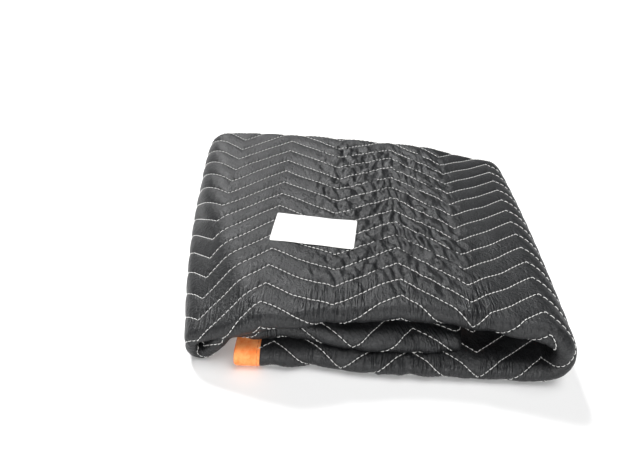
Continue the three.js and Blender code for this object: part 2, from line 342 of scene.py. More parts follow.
EDGE_S = column(EDGES, "s")
EDGE_FRONT = column(EDGES, "front") + STRIP_HALF
EDGE_BACK = column(EDGES, "back") - PLY_PITCH / 2 - PLY_THICKNESS / 2


def edges_at(s):
    """Where the plies' front and back ends lie, as y, at places across the pad."""
    return eased(EDGE_S, EDGE_FRONT, s), eased(EDGE_S, EDGE_BACK, s)


def top_ply_y(s, t):
    """How far back a place on the top ply lies."""
    front, back = edges_at(s)
    return front + (back - front) * (t - TOP_PLY_START) / PLY_LENGTH


def top_ply_t(s, y):
    """The place along the pad that lies at y on the top ply."""
    front, back = edges_at(s)
    return TOP_PLY_START + PLY_LENGTH * (y - front) / (back - front)


def label_centre():
    low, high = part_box("label")
    return (low + high) / 2


SHIFT = np.array([label_centre().x / MM - LABEL_X, label_centre().y / MM - LABEL_Y, 0])


def fold(s, t, n):
    """Points of the folded pad, in metres, from places on its cloth."""
    s, t, n = np.broadcast_arrays(np.asarray(s, float), np.asarray(t, float), np.asarray(n, float))
    share, out, w, dy, dw = length_place(t)
    front, back = edges_at(s)
    flat_y = front + (back - front) * share
    x, z, heading, pinch = strip_at(s, (flat_y + out - DEPTH_FRONT) / (DEPTH_BACK - DEPTH_FRONT))
    across = (w + n * dy) * pinch
    y = flat_y + (out - n * dw) * pinch
    points = np.stack([x + np.sin(heading) * across, y, z - np.cos(heading) * across], axis=-1)
    return (points + SHIFT) * MM


# Quilting relief and wrinkles

NOISE_ANGLES = np.random.default_rng(11).uniform(0, 2 * math.pi, 1024)


def noise(u, v, seed=0):
    """Smooth noise of two coordinates, about -0.7 to 0.7, one lump to each unit."""
    iu = np.floor(u).astype(np.int64)
    iv = np.floor(v).astype(np.int64)
    fu = u - iu
    fv = v - iv

    def slope(a, b):
        angle = NOISE_ANGLES[((iu + a) * 7919 + (iv + b) * 104729 + seed * 3571) % len(NOISE_ANGLES)]
        return np.cos(angle) * (fu - a) + np.sin(angle) * (fv - b)

    ease_u = fu * fu * fu * (fu * (fu * 6 - 15) + 10)
    ease_v = fv * fv * fv * (fv * (fv * 6 - 15) + 10)
    low = slope(0, 0) * (1 - ease_u) + slope(1, 0) * ease_u
    high = slope(0, 1) * (1 - ease_u) + slope(1, 1) * ease_u
    return low * (1 - ease_v) + high * ease_v


def creased(phase):
    """Flat facets between sharp ridges and valleys, -0.5 to 0.5, one ridge to each unit."""
    return np.abs(phase - np.floor(phase) - 0.5) * 2 - 0.5


def smooth(low, high, value):
    """0 below low, 1 above high, and eased between."""
    share = np.clip((value - low) / (high - low), 0, 1)
    return share * share * (3 - 2 * share)


def window(start, full, fade, end, value):
    """1 between full and fade, and 0 outside start and end."""
    return smooth(start, full, value) * (1 - smooth(fade, end, value))


ZIGZAG_S = column(ZIGZAG, "s")
ZIGZAG_T = column(ZIGZAG, "t")
MIDDLE_BEND_S = 706


def zigzag(s):
    """How far along the pad a row of stitches lies from its own middle."""
    return np.interp(s, ZIGZAG_S, ZIGZAG_T)


def row_phase(s, t):
    """Counts the rows of stitches along the pad: a whole number on each row."""
    return (t - zigzag(s) - ROW_START) / ROW_PITCH


def row_slope(s):
    piece = np.clip(np.searchsorted(ZIGZAG_S, s) - 1, 0, len(ZIGZAG) - 2)
    return np.diff(ZIGZAG_T)[piece] / np.diff(ZIGZAG_S)[piece]


# The stretches of cloth that differ from the rest, in millimetres across the pad and along it
Zone = namedtuple("Zone", "start full fade end")
TOP_ACROSS = Zone(500, 560, 985, 1030)
TOP_ALONG = Zone(525, 560, 985, 1010)
TOP_PLY_ALONG = Zone(515, 525, 1000, 1010)
WRINKLED_ACROSS = Zone(588, 625, 795, 862)
WRINKLED_ALONG = Zone(505, 600, 950, 1012)
SHINY_ACROSS = Zone(570, 600, 890, 940)
FRONT_ROLL_ALONG = Zone(450, 470, 505, 522)
GATHERED_ALONG = Zone(PLY_LENGTH - 30, PLY_LENGTH, PLY_LENGTH + 55, PLY_LENGTH + 100)


def on_top(s, t):
    """1 on the top layer's upper face, away from its folds."""
    return window(*TOP_ACROSS, s) * window(*TOP_ALONG, t)


def crushed(s, t):
    """1 where the top layer's cloth is drawn together in sharp wrinkles."""
    wander = 14 * noise(t / 70, s / 200, seed=5)
    return window(*WRINKLED_ACROSS, s + wander) * window(*WRINKLED_ALONG, t)


def under_label(s, t):
    """1 where the label holds the cloth flat, fading out round it."""
    from_middle_x = np.abs(ANCHOR_S - s - LABEL_X)
    from_middle_y = np.abs(top_ply_y(s, t) - LABEL_Y)
    inside_x = 1 - smooth(LABEL_WIDTH / 2 - 4, LABEL_WIDTH / 2 + 14, from_middle_x)
    inside_y = 1 - smooth(LABEL_DEPTH / 2, LABEL_DEPTH / 2 + 14, from_middle_y)
    return inside_x * inside_y * window(*TOP_PLY_ALONG, t)


def gathered(s, t):
    """Up to 1 round the front fold, where the quilting bunches up, further back where it does so more."""
    patchy = 0.25 + 0.75 * smooth(-0.12, 0.32, noise(s / 52, t / 300, seed=43))
    zone = GATHERED_ALONG._replace(end=GATHERED_ALONG.end + 40 * patchy)
    return patchy * window(*zone, t)


def swell(s, t):
    """The top layer's slow unevenness, in millimetres."""
    return on_top(s, t) * (3.2 * noise(s / 95, t / 120, seed=1) + 1.8 * noise(s / 45, t / 60, seed=2))


def edge_taper(s, t):
    """0 under the binding, rising to 1 where the pad has its full thickness."""
    edge = np.minimum(np.minimum(s, PAD_WIDTH - s), np.minimum(t, PAD_LENGTH - t))
    return np.clip((edge - BINDING_WIDTH) / TAPER_LENGTH, 0, 1)


def quilt_height(s, t):
    """How far the cloth stands from the sheet's middle, from the rows of stitches alone, and how near it is
    to a row: 0 on the row and 1 halfway to the next."""
    phase = row_phase(s, t)
    from_row = np.abs(phase - np.round(phase)) * 2
    puff = 1 - (1 - from_row) ** PUFF_ROUNDNESS
    taper = edge_taper(s, t)
    full = PLY_THICKNESS / 2 - SEAM_DEPTH * (1 - puff)
    return EDGE_THICKNESS / 2 + (full - EDGE_THICKNESS / 2) * taper, from_row


def wrinkles(s, t):
    """Facets between sharp creases, in millimetres. They start anew in each channel between two rows, and
    lean away from the rows' middle bend on both its sides."""
    channel = np.floor(row_phase(s, t))
    along = t - ROW_START - channel * ROW_PITCH
    lean = 0.5 * np.tanh((s - MIDDLE_BEND_S) / 26)
    across = s + lean * along
    other_way = s - (0.9 * lean + 0.35) * along
    wander = noise(s / 34, channel * 3.17 + along / 45, seed=21)
    other_wander = noise(s / 40, channel * 2.61 + along / 50, seed=22)
    strength = 0.6 + 0.9 * noise(s / 30, channel * 1.73 + along / 60, seed=23)
    first = creased(across / 29 + 1.2 * wander + 0.37 * channel)
    second = creased(other_way / 43 + 1.1 * other_wander + 0.61 * channel)
    third = creased((across + other_way) / 24 + wander + 0.23 * channel)
    return 7.6 * strength * first + 5.2 * second + 1.6 * third


def dents(s, t):
    """Small unevenness between the rows, in millimetres, half as deep away from the top."""
    loose = noise(s / 26, t / 22, seed=31) + 0.6 * noise(s / 11, t / 13, seed=32)
    return 0.55 * loose * edge_taper(s, t) * np.where(on_top(s, t) > 0, 1, 0.5)


def bunching(s, t):
    """Narrow pleats and wider buckles of the front fold, in millimetres."""
    pleats = np.abs(noise(s / 6.5, t / 45, seed=41)) * 2 - 0.45
    buckles = noise(s / 24, t / 32, seed=44)
    return 1.1 * pleats + 2.2 * buckles


def roll_lumps(s, t):
    """Lumps of the rounded folds at the front, in millimetres."""
    return 2.4 * noise(s / 42, t / 70, seed=61) + 1.8 * noise(s / 18, t / 45, seed=62)


def face_height(s, t):
    """How far the face cloth stands from the sheet's middle, with its wrinkles."""
    height, from_row = quilt_height(s, t)
    held = 0.35 + 0.65 * np.sin(np.pi * np.clip(from_row, 0, 1) / 2)
    crush = crushed(s, t) * (1 - under_label(s, t))
    height = height + crush * held * wrinkles(s, t)
    height = height + (1 - crush) * held * dents(s, t)
    height = height + gathered(s, t) * bunching(s, t)
    height = height + window(*FRONT_ROLL_ALONG, t) * roll_lumps(s, t)
    return height + swell(s, t)


def back_height(s, t):
    """The backing stands as far out on the other side, without wrinkles."""
    return -quilt_height(s, t)[0]


# Cloth pieces

def spread(cuts):
    """Places along the cloth from rows of (end, step), the first row's end being where it starts."""
    places = [cuts[0][0]]
    for end, step in cuts[1:]:
        count = max(1, round((end - places[-1]) / step))
        places += list(np.linspace(places[-1], end, count + 1)[1:])
    return np.array(places)


def grid_piece(name, u_count, v_count):
    """A flat grid with a UV map, and its vertices' places, 0 to 1 each way."""
    mesh = bpy.data.meshes.new(name)
    bm = bmesh.new()
    bm.loops.layers.uv.new("cloth")
    bmesh.ops.create_grid(bm, x_segments=u_count - 1, y_segments=v_count - 1, size=0.5, calc_uvs=True)
    bm.to_mesh(mesh)
    bm.free()
    flat = np.zeros(len(mesh.vertices) * 3, np.float32)
    mesh.vertices.foreach_get("co", flat)
    flat = flat.reshape(-1, 3) + 0.5
    return mesh, flat[:, 0].astype(float), flat[:, 1].astype(float)


def place_points(mesh, points):
    mesh.vertices.foreach_set("co", np.asarray(points, np.float32).ravel())
    mesh.update()


def add_values(mesh, name, values):
    attribute = mesh.attributes.new(name, "FLOAT", "POINT")
    attribute.data.foreach_set("value", np.asarray(values, np.float32).ravel())


def show(mesh, material, *, smooth_faces=True):
    piece = bpy.data.objects.new(mesh.name, mesh)
    bpy.context.scene.collection.objects.link(piece)
    mesh.materials.append(material)
    mesh.polygons.foreach_set("use_smooth", [smooth_faces] * len(mesh.polygons))
    return piece


def cloth_uv(mesh, s, t):
    """The UV map is the place on the flat pad."""
    loops = np.zeros(len(mesh.loops), np.int32)
    mesh.loops.foreach_get("vertex_index", loops)
    uv = np.stack([s[loops] / PAD_WIDTH, t[loops] / PAD_LENGTH], axis=-1)
    mesh.uv_layers["cloth"].data.foreach_set("uv", uv.astype(np.float32).ravel())


def row_values(mesh, s, t):
    """What the cloth's material reads: the count of rows, the length along them, and the wrinkled zones."""
    add_values(mesh, "row", row_phase(s, t))
    places = np.linspace(0, PAD_WIDTH, PAD_WIDTH + 1)
    lengths = np.concatenate([[0], np.cumsum(np.hypot(1, row_slope(places[:-1] + 0.5)))])
    add_values(mesh, "stitch", np.interp(s, places, lengths) / STITCH_PITCH)
    shiny = 0.45 * window(*SHINY_ACROSS, s) * on_top(s, t)
    add_values(mesh, "crush", np.maximum(crushed(s, t), shiny))
    add_values(mesh, "gather", gathered(s, t))


# How the cloths are divided: from each row of stitches that shows to the next, and across the pad, where
# each row is an end and the steps up to it
FINE_OFFSETS = [0, 1.3, 4, 8.5, 13.5, 18.4, 23.3, 28.3, 32.8, 35.5]
FINE_ROWS = range(-9, 8)
FACE_STEPS = [
    (0, 0), (33, 8), (78, 6), (425, 4.6), (560, 2.9), (612, 2.7), (1010, 2.55),
    (1260, 3.6), (1422, 4.6), (1467, 6), (1500, 8),
]
BACKING_STEPS = [(0, 0), (33, 8), (400, 9), (560, 5), (1000, 9), (1260, 5), (1467, 9), (1500, 8)]
BACKING_PLY_STEP = 9
BACKING_TURN_STEP = 3


def row_stations():
    """Where the face cloth is divided along its length: closely by the rows that show."""
    first = ROW_START + FINE_ROWS[0] * ROW_PITCH
    last = ROW_START + (FINE_ROWS[-1] + 1) * ROW_PITCH
    fine = [ROW_START + k * ROW_PITCH + offset for k in FINE_ROWS for offset in FINE_OFFSETS]
    before = np.arange(first, BINDING_WIDTH, -ROW_PITCH / 2)[:0:-1]
    after = np.arange(last, PAD_LENGTH - BINDING_WIDTH, ROW_PITCH)
    edge = np.linspace(0, BINDING_WIDTH, 4)
    return np.concatenate([edge, before, fine, after, PAD_LENGTH - edge[::-1]])


def stretched(grid_places, places):
    """Turns the grid's even places, 0 to 1, into chosen places along the cloth."""
    return np.interp(grid_places, np.linspace(0, 1, len(places)), places)


def make_face_cloth(material):
    """The cloth of the pad's face. Its divisions follow the zigzag, except near the pad's ends."""
    s_places = spread(FACE_STEPS)
    t_places = row_stations()
    mesh, u, v = grid_piece("face_cloth", len(s_places), len(t_places))
    s = stretched(u, s_places)
    t = stretched(v, t_places)
    t = t + zigzag(s) * window(BINDING_WIDTH, 170, 1800, PAD_LENGTH - BINDING_WIDTH, t)
    place_points(mesh, fold(s, t, face_height(s, t)))
    cloth_uv(mesh, s, t)
    row_values(mesh, s, t)
    mesh.flip_normals()
    return show(mesh, material)


def turn_places():
    """Where each turn between two plies starts and ends, along the pad."""
    places = []
    end = 0
    for ply, after in zip(PLIES, PLIES[1:]):
        start = end + PLY_LENGTH
        end = start + math.pi * abs(after.w - ply.w) / 2
        places.append((start, end))
    return places


def make_backing_cloth(material):
    """The cloth of the pad's back, divided more closely round each turn."""
    s_places = spread(BACKING_STEPS)
    cuts = [(0, 0)]
    for start, end in turn_places():
        cuts += [(start, BACKING_PLY_STEP), (end, BACKING_TURN_STEP)]
    t_places = spread(cuts + [(PAD_LENGTH, BACKING_PLY_STEP)])
    mesh, u, v = grid_piece("backing_cloth", len(s_places), len(t_places))
    s = stretched(u, s_places)
    t = stretched(v, t_places)
    place_points(mesh, fold(s, t, back_height(s, t)))
    cloth_uv(mesh, s, t)
    row_values(mesh, s, t)
    return show(mesh, material)


# Thread

STATIONS_PER_STITCH = 4
THREAD_SIDES = 5
THREAD_TUCK = 3
ROD_SPACING = 10

# How far the thread stands off the cloth at each station of a stitch, in millimetres
STITCH_LIFT = np.array([-1.4, 0.85, 1.05, 0.85])


def rods(name, count, stations, sides):
    """Straight rods side by side, and each vertex's rod, station and angle."""
    mesh = bpy.data.meshes.new(name)
    bm = bmesh.new()
    for k in range(count):
        bmesh.ops.create_cone(
            bm,
            cap_ends=True,
            segments=sides,
            radius1=1,
            radius2=1,
            depth=1,
            matrix=Matrix.Translation((ROD_SPACING * k, 0, 0)),
        )
    long_edges = [e for e in bm.edges if abs(e.verts[0].co.z - e.verts[1].co.z) > 0.5]
    bmesh.ops.subdivide_edges(bm, edges=long_edges, cuts=stations - 2)
    bm.to_mesh(mesh)
    bm.free()
    flat = np.zeros(len(mesh.vertices) * 3, np.float32)
    mesh.vertices.foreach_get("co", flat)
    x, y, z = flat.reshape(-1, 3).astype(float).T
    rod = np.round(x / ROD_SPACING).astype(int)
    station = np.round((z + 0.5) * (stations - 1)).astype(int)
    return mesh, rod, station, np.arctan2(y, x - ROD_SPACING * rod)


def stitch_line(name, s, t, height, material, *, radius=THREAD_RADIUS, lift=STITCH_LIFT):
    """Thread that dips into the cloth between stitches, along lines given as rows of places."""
    count, stations = s.shape
    mesh, rod, station, angle = rods(name, count, stations, THREAD_SIDES)
    base = fold(s, t, height)
    up = fold(s, t, height + 1) - base
    up /= np.linalg.norm(up, axis=-1, keepdims=True)
    ahead = np.gradient(base, axis=1)
    side = np.cross(up, ahead)
    side /= np.linalg.norm(side, axis=-1, keepdims=True) + 1e-12
    dips = lift[np.arange(stations) % len(lift)]
    centre = base + up * (dips * MM)[None, :, None]
    at = (rod, station)
    ring = side[at] * np.cos(angle)[:, None] + up[at] * np.sin(angle)[:, None]
    place_points(mesh, centre[at] + ring * radius * MM)
    bm = bmesh.new()
    bm.from_mesh(mesh)
    bmesh.ops.recalc_face_normals(bm, faces=bm.faces)
    bm.to_mesh(mesh)
    bm.free()
    return show(mesh, material)


def quilt_lines(rows):
    """The rows' own lines over the pad, with equal stitches, as places s and t. They end THREAD_TUCK in
    under the end bindings."""
    places = np.linspace(BINDING_WIDTH - THREAD_TUCK, PAD_WIDTH - BINDING_WIDTH + THREAD_TUCK, 2001)
    middles = (places[1:] + places[:-1]) / 2
    lengths = np.concatenate([[0], np.cumsum(np.diff(places) * np.hypot(1, row_slope(middles)))])
    stitches = int(lengths[-1] // STITCH_PITCH)
    at = np.arange(stitches * STATIONS_PER_STITCH + 1) * STITCH_PITCH / STATIONS_PER_STITCH
    s = np.interp(at, lengths, places)
    s = np.tile(s, (len(rows), 1))
    t = zigzag(s) + ROW_START + np.array(list(rows))[:, None] * ROW_PITCH
    return s, t


def make_quilt_thread(name, rows, material):
    """The white thread of some rows of the quilting, kept out of the pad's lower binding."""
    s, t = quilt_lines(rows)
    t = np.maximum(t, BINDING_WIDTH - THREAD_TUCK)
    return stitch_line(name, s, t, face_height(s, t), material)


# Binding

BINDING_CLOTH = 0.8
BINDING_HALF = EDGE_THICKNESS / 2 + 0.95
BINDING_DIVISIONS = 24
TAPE_STEP = 4
TAPE_OVERHANG = 1.4
TAPE_STITCH_INSET = 4
TAPE_STITCH_LIFT = np.array([-1.2, 0.2, 0.35, 0.2])
TAPE_THREAD_RADIUS = 0.42


def tape_section(q):
    """Across the folded tape, from one inner edge round the pad's edge to the other: how far in from the
    pad's edge it lies, and n."""
    side = BINDING_WIDTH
    turn = math.pi * BINDING_HALF
    total = 2 * side + turn
    at = q * total
    angle = np.clip((at - side) / BINDING_HALF, 0, math.pi)
    inwards = np.where(at < side, side - at, np.where(at > side + turn, at - side - turn, 0))
    inwards = inwards - np.sin(angle) * BINDING_HALF
    return inwards, np.cos(angle) * BINDING_HALF


def make_binding(name, along_places, place, material):
    """A tape folded over one edge of the pad. place turns (along, inwards) into s and t."""
    mesh, u, q = grid_piece(name, len(along_places), BINDING_DIVISIONS)
    along = stretched(u, along_places)
    inwards, n = tape_section(q)
    seed = len(name)
    near_edge = smooth(0.6, 1, inwards / BINDING_WIDTH)
    inwards = inwards + near_edge * 1.1 * noise(along / 21, q * 0 + np.sign(n), seed=seed)
    ripple = noise(along / 9, inwards / 16 + np.sign(n) * 7, seed=seed + 1)
    n = n + np.sign(n) * 0.28 * ripple * smooth(0, 8, inwards)
    s, t = place(along, inwards)
    place_points(mesh, fold(s, t, n))
    cloth_uv(mesh, s, t)
    piece = show(mesh, material)
    thicken = piece.modifiers.new("tape", "SOLIDIFY")
    thicken.thickness = BINDING_CLOTH * MM
    thicken.offset = 0
    return piece


def make_binding_stitches(name, along_places, place, material):
    """One row of stitches holds the tape, near its inner edge on the pad's face."""
    stitches = int((along_places[-1] - along_places[0]) // STITCH_PITCH)
    at = np.arange(stitches * STATIONS_PER_STITCH + 1) * STITCH_PITCH / STATIONS_PER_STITCH
    along = (along_places[0] + at)[None, :]
    s, t = place(along, np.full_like(along, BINDING_WIDTH - TAPE_STITCH_INSET))
    height = np.full_like(s, BINDING_HALF + BINDING_CLOTH / 2)
    return stitch_line(name, s, t, height, material, radius=TAPE_THREAD_RADIUS, lift=TAPE_STITCH_LIFT)


# Label

LABEL_CORNER = 3
LABEL_CLOTH = 0.7
LABEL_LIFT = 0.55


def round_corners(across, along):
    """Draws a grid's points in to the label's rounded corners."""
    past_x = np.abs(across) - LABEL_WIDTH / 2 + LABEL_CORNER
    past_y = np.abs(along) - LABEL_DEPTH / 2 + LABEL_CORNER
    reach = np.hypot(np.maximum(past_x, 0), np.maximum(past_y, 0))
    spare = 1 - LABEL_CORNER / np.maximum(reach, LABEL_CORNER)
    return across - np.sign(across) * past_x * spare, along - np.sign(along) * past_y * spare


def make_label(material):
    """A blank patch that lies over the quilting, sewn down round its edge."""
    mesh, u, v = grid_piece("label_patch", 66, 35)
    across, along = round_corners((u - 0.5) * LABEL_WIDTH, (v - 0.5) * LABEL_DEPTH)
    x = LABEL_X + across * math.cos(LABEL_TURN) - along * math.sin(LABEL_TURN)
    y = LABEL_Y + across * math.sin(LABEL_TURN) + along * math.cos(LABEL_TURN)
    s = ANCHOR_S - x
    t = top_ply_t(s, y)
    edge = np.minimum(LABEL_WIDTH / 2 - np.abs(across), LABEL_DEPTH / 2 - np.abs(along))
    height = PLY_THICKNESS / 2 + LABEL_LIFT + swell(s, t) + 0.25 * smooth(0, 4, edge)
    height = height + 0.25 * noise(across / 25, along / 25, seed=51)
    place_points(mesh, fold(s, t, height))
    cloth_uv(mesh, s, t)
    mesh.flip_normals()
    piece = show(mesh, material)
    thicken = piece.modifiers.new("cloth", "SOLIDIFY")
    thicken.thickness = LABEL_CLOTH * MM
    thicken.offset = 0
    return piece


# Materials

def new_material(name):
    material = bpy.data.materials.new(name)
    material.use_nodes = True
    return material, material.node_tree, material.node_tree.nodes["Principled BSDF"]


def maths(tree, operation, first, second=None, third=None):
    """A Math node. An input is a socket or a number."""
    made = tree.nodes.new("ShaderNodeMath")
    made.operation = operation
    for i, value in enumerate(v for v in (first, second, third) if v is not None):
        if isinstance(value, (int, float)):
            made.inputs[i].default_value = value
        else:
            tree.links.new(value, made.inputs[i])
    return made.outputs[0]


def ramp(tree, value, low, high, out_low=0, out_high=1):
    """Turns low to high into out_low to out_high, with soft ends."""
    made = tree.nodes.new("ShaderNodeMapRange")
    made.interpolation_type = "SMOOTHSTEP"
    tree.links.new(value, made.inputs["Value"])
    made.inputs["From Min"].default_value = low
    made.inputs["From Max"].default_value = high
    made.inputs["To Min"].default_value = out_low
    made.inputs["To Max"].default_value = out_high
    return made.outputs["Result"]


def near(tree, distance, reach):
    """1 at no distance, fading to 0 at reach."""
    return ramp(tree, distance, 0, reach, 1, 0)


def scaled_sum(tree, parts):
    """The sum of several sockets, each times its own number."""
    total = None
    for socket, factor in parts:
        part = maths(tree, "MULTIPLY", socket, factor)
        total = part if total is None else maths(tree, "ADD", total, part)
    return total


def noise_node(tree, vector, scale, detail=2, roughness=0.5):
    made = tree.nodes.new("ShaderNodeTexNoise")
    made.inputs["Scale"].default_value = scale
    made.inputs["Detail"].default_value = detail
    made.inputs["Roughness"].default_value = roughness
    tree.links.new(vector, made.inputs["Vector"])
    return made.outputs["Fac"]


def ridges(tree, vector, detail):
    """Sharp creases between soft lumps, 0 in the creases."""
    lumps = noise_node(tree, vector, 1, detail=detail, roughness=0.5)
    return maths(tree, "MULTIPLY", maths(tree, "ABSOLUTE", maths(tree, "SUBTRACT", lumps, 0.5)), 4)


def grain_group():
    """Fine thread grain of a cloth, from its own UV map: a height and a tone."""
    group = bpy.data.node_groups.new("cloth_grain", "ShaderNodeTree")
    group.interface.new_socket("Cloth Place", in_out="INPUT", socket_type="NodeSocketVector")
    group.interface.new_socket("Height", in_out="OUTPUT", socket_type="NodeSocketFloat")
    group.interface.new_socket("Tone", in_out="OUTPUT", socket_type="NodeSocketFloat")
    inside = group.nodes.new("NodeGroupInput")
    outside = group.nodes.new("NodeGroupOutput")
    scaled = group.nodes.new("ShaderNodeMapping")
    scaled.inputs["Scale"].default_value = (PAD_WIDTH, PAD_LENGTH, 1)
    group.links.new(inside.outputs["Cloth Place"], scaled.inputs["Vector"])
    fine = noise_node(group, scaled.outputs[0], 0.27, detail=3, roughness=0.75)
    slubs = noise_node(group, scaled.outputs[0], 0.16, detail=3, roughness=0.55)
    group.links.new(fine, outside.inputs["Height"])
    group.links.new(scaled_sum(group, [(slubs, 0.6), (fine, 0.4)]), outside.inputs["Tone"])
    return group


def grain_of(tree, grain, uv):
    """The height and the tone of the thread grain."""
    made = tree.nodes.new("ShaderNodeGroup")
    made.node_tree = grain
    tree.links.new(uv, made.inputs["Cloth Place"])
    return made.outputs["Height"], made.outputs["Tone"]


def cloth_place(tree):
    uv = tree.nodes.new("ShaderNodeUVMap")
    uv.uv_map = "cloth"
    return uv.outputs["UV"]


def mapped(tree, uv, per_mm, per_mm_along=None):
    """The cloth's own place in lumps, so many to each millimetre."""
    made = tree.nodes.new("ShaderNodeMapping")
    made.inputs["Scale"].default_value = (PAD_WIDTH * per_mm, PAD_LENGTH * (per_mm_along or per_mm), 1)
    tree.links.new(uv, made.inputs["Vector"])
    return made.outputs[0]


def attribute(tree, name):
    made = tree.nodes.new("ShaderNodeAttribute")
    made.attribute_name = name
    return made.outputs["Fac"]


def mix_colour(tree, share, first, second):
    """A colour between two. The node's inputs 0, 6 and 7 are the share and the colours."""
    made = tree.nodes.new("ShaderNodeMix")
    made.data_type = "RGBA"
    for socket, value in zip((made.inputs[0], made.inputs[6], made.inputs[7]), (share, first, second)):
        if isinstance(value, (tuple, float, int)):
            socket.default_value = value
        else:
            tree.links.new(value, socket)
    return made.outputs[2]


def add_bump(tree, shader, strength, height):
    """Bumps from a height in millimetres."""
    bump = tree.nodes.new("ShaderNodeBump")
    bump.inputs["Strength"].default_value = strength
    bump.inputs["Distance"].default_value = MM
    tree.links.new(height, bump.inputs["Height"])
    tree.links.new(bump.outputs["Normal"], shader.inputs["Normal"])


CHARCOAL_DARK = (0.009, 0.0095, 0.0105, 1)
CHARCOAL_PALE = (0.022, 0.023, 0.0245, 1)
# Painted shade for the grooves along the rows of stitches and for the stitch holes
GROOVE_SHADE_BLACK = (0.002, 0.002, 0.002, 1)
ORANGE_DEEP = (0.93, 0.235, 0.045, 1)
ORANGE_PALE = (1.0, 0.42, 0.15, 1)
LABEL_SHADE = (0.78, 0.78, 0.77, 1)
LABEL_WHITE = (0.88, 0.88, 0.87, 1)
THREAD_SHADE = (0.62, 0.62, 0.61, 1)
THREAD_WHITE = (0.88, 0.88, 0.86, 1)
ORANGE_THREAD_DEEP = (0.5, 0.09, 0.02, 1)
ORANGE_THREAD_PALE = (0.75, 0.2, 0.05, 1)


def quilted_material(grain):
    """Charcoal cloth: grooves at the rows with painted shade in them and round each stitch hole, puckers at
    each stitch, and a shine on the wrinkles.
    """
    material, tree, shader = new_material("quilted_cloth")
    uv = cloth_place(tree)
    grain_height, grain_tone = grain_of(tree, grain, uv)
    crush = attribute(tree, "crush")
    gather = attribute(tree, "gather")
    from_row = maths(tree, "PINGPONG", attribute(tree, "row"), 0.5)
    from_hole = maths(tree, "PINGPONG", attribute(tree, "stitch"), 0.5)
    groove_shade = near(tree, from_row, 0.075)
    hole = maths(tree, "MULTIPLY", near(tree, from_hole, 0.28), near(tree, from_row, 0.11))
    pucker = maths(tree, "MULTIPLY", ramp(tree, from_hole, 0, 0.5), ramp(tree, from_row, 0.02, 0.3, 1, 0))

    base = mix_colour(tree, ramp(tree, grain_tone, 0.35, 0.68), CHARCOAL_DARK, CHARCOAL_PALE)
    # Painted shade: the colour darkens towards black within about 3 mm of each row and round each stitch
    # hole, where the cloth dips in
    painted_shade = maths(tree, "MAXIMUM", maths(tree, "MULTIPLY", groove_shade, 0.4), maths(tree, "MULTIPLY", hole, 0.45))
    tree.links.new(mix_colour(tree, painted_shade, base, GROOVE_SHADE_BLACK), shader.inputs["Base Color"])

    worn = noise_node(tree, mapped(tree, uv, 0.03), 1, detail=2)
    shine = scaled_sum(tree, [(crush, 0.05), (gather, 0.08)])
    rough = maths(tree, "SUBTRACT", ramp(tree, worn, 0.3, 0.7, 0.4, 0.5), shine)
    tree.links.new(rough, shader.inputs["Roughness"])
    shader.inputs["Specular IOR Level"].default_value = 0.5

    pleats = ridges(tree, mapped(tree, uv, 0.14, 0.018), detail=2)
    creases = ridges(tree, mapped(tree, uv, 0.06, 0.035), detail=1)
    mottle = ridges(tree, mapped(tree, uv, 0.11, 0.08), detail=1)
    height = scaled_sum(tree, [
        (grain_height, 1.7),
        (pucker, 0.4),
        (hole, -0.8),
        (maths(tree, "MULTIPLY", pleats, gather), 2.6),
        (maths(tree, "MULTIPLY", creases, crush), 1.5),
        (mottle, 0.5),
    ])
    add_bump(tree, shader, 0.85, height)
    return material


def tape_material(grain, name, low, high, roughness, bump_strength):
    """Woven cloth between two tones, worn in patches."""
    material, tree, shader = new_material(name)
    uv = cloth_place(tree)
    grain_height, grain_tone = grain_of(tree, grain, uv)
    worn = noise_node(tree, mapped(tree, uv, 0.07), 1, detail=4, roughness=0.6)
    tone = scaled_sum(tree, [(worn, 0.6), (grain_tone, 0.4)])
    tree.links.new(mix_colour(tree, ramp(tree, tone, 0.36, 0.64), low, high), shader.inputs["Base Color"])
    tree.links.new(ramp(tree, worn, 0.3, 0.7, roughness, roughness + 0.1), shader.inputs["Roughness"])
    shader.inputs["Sheen Weight"].default_value = 0.2
    add_bump(tree, shader, bump_strength, scaled_sum(tree, [(grain_height, 0.35), (worn, 1)]))
    return material


def thread_material(name, low, high):
    """Twisted thread between two tones."""
    material, tree, shader = new_material(name)
    place = tree.nodes.new("ShaderNodeTexCoord")
    twist = noise_node(tree, place.outputs["Object"], 900, detail=1)
    tree.links.new(mix_colour(tree, ramp(tree, twist, 0.35, 0.65), low, high), shader.inputs["Base Color"])
    shader.inputs["Roughness"].default_value = 0.65
    shader.inputs["Sheen Weight"].default_value = 0.2
    return material


# The object

def belongs(piece):
    """Every piece rides on the part's one body."""
    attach(piece, "root")
    return piece


grain = grain_group()
cloth_finish = quilted_material(grain)
tape_finish = tape_material(grain, "binding_tape", ORANGE_DEEP, ORANGE_PALE, 0.7, 0.5)
label_finish = tape_material(grain, "label_cloth", LABEL_SHADE, LABEL_WHITE, 0.6, 0.15)
white_thread = thread_material("white_thread", THREAD_SHADE, THREAD_WHITE)
orange_thread = thread_material("orange_thread", ORANGE_THREAD_DEEP, ORANGE_THREAD_PALE)

# The rows of stitches on the strip's two faces: the one on top, with the front fold, and the other
OUTER_ROWS = range(-9, 9)
INNER_ROWS = range(-20, -9)

face_cloth = belongs(make_face_cloth(cloth_finish))
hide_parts("pad")
backing_cloth = belongs(make_backing_cloth(cloth_finish))
quilt_thread = belongs(make_quilt_thread("quilt_thread", OUTER_ROWS, white_thread))
inner_thread = belongs(make_quilt_thread("quilt_thread_inner", INNER_ROWS, white_thread))

